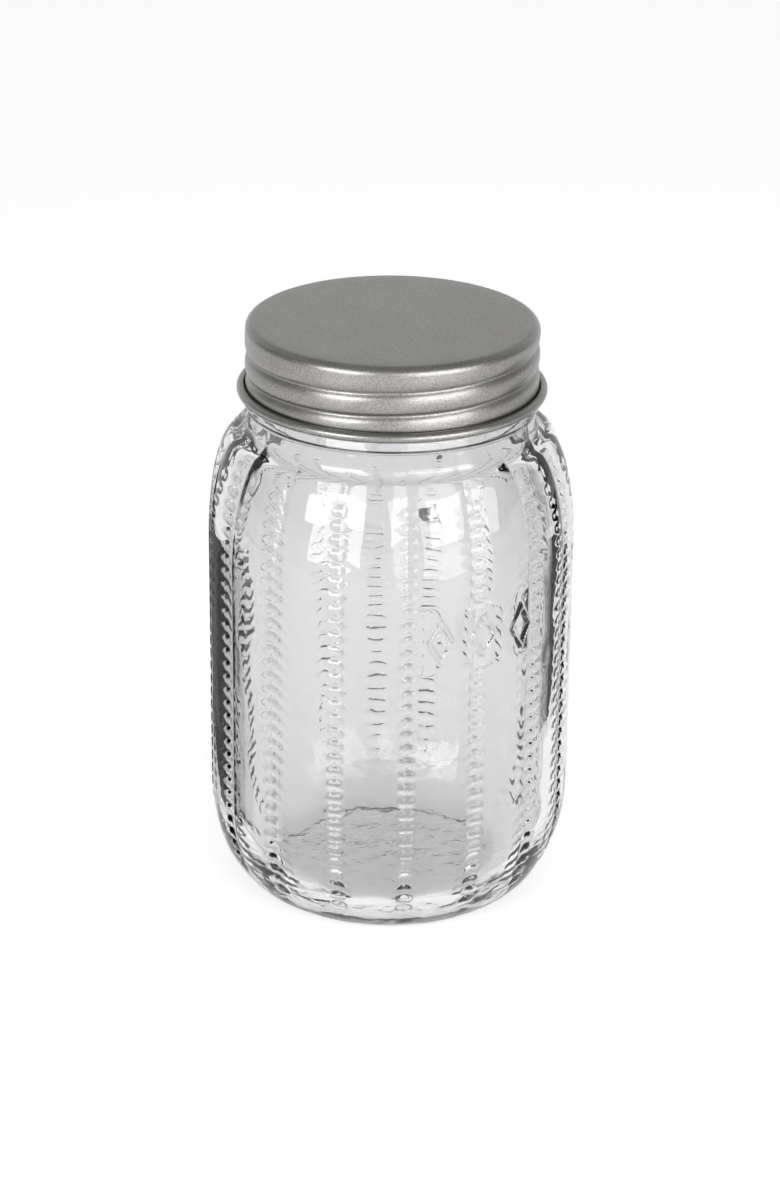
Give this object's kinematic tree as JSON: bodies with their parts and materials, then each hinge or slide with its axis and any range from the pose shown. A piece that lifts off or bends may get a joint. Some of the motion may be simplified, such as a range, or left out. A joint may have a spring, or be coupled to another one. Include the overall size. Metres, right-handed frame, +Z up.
{
  "type": "glass storage jar with screw lid",
  "caption": "Clear ribbed glass storage jar with a flat one-piece metal screw lid and a loose foam sealing disc inside the lid.",
  "frame": {"origin": "centre of the jar's base, on the surface it stands on", "axes": "+Z up along the jar's axis, -Y is the front, +X is the right seen from the front"},
  "size_m": [0.102, 0.102, 0.168],
  "materials": {
    "clear_glass": "gloss",
    "lid_metal": "satin",
    "liner_foam": "matte"
  },
  "bodies": {
    "jar": {"glass_jar": "clear_glass"},
    "liner": {"lid_liner": "liner_foam"},
    "lid": {"lid_shell": "lid_metal"}
  },
  "joints": [
    {"name": "lid_lift", "type": "slide", "parent": "jar", "child": "liner", "axis": [0, 0, 1], "range_m": [0, 0.0256]},
    {"name": "lid_turn", "type": "hinge", "parent": "liner", "child": "lid", "pos_m": [0, 0, 0.158], "axis": [0, 0, 1], "range_deg": [0, 1440]}
  ],
  "couplings": [
    {"joint": "lid_lift", "follows": "lid_turn", "m_per_rad": 0.0010106}
  ]
}
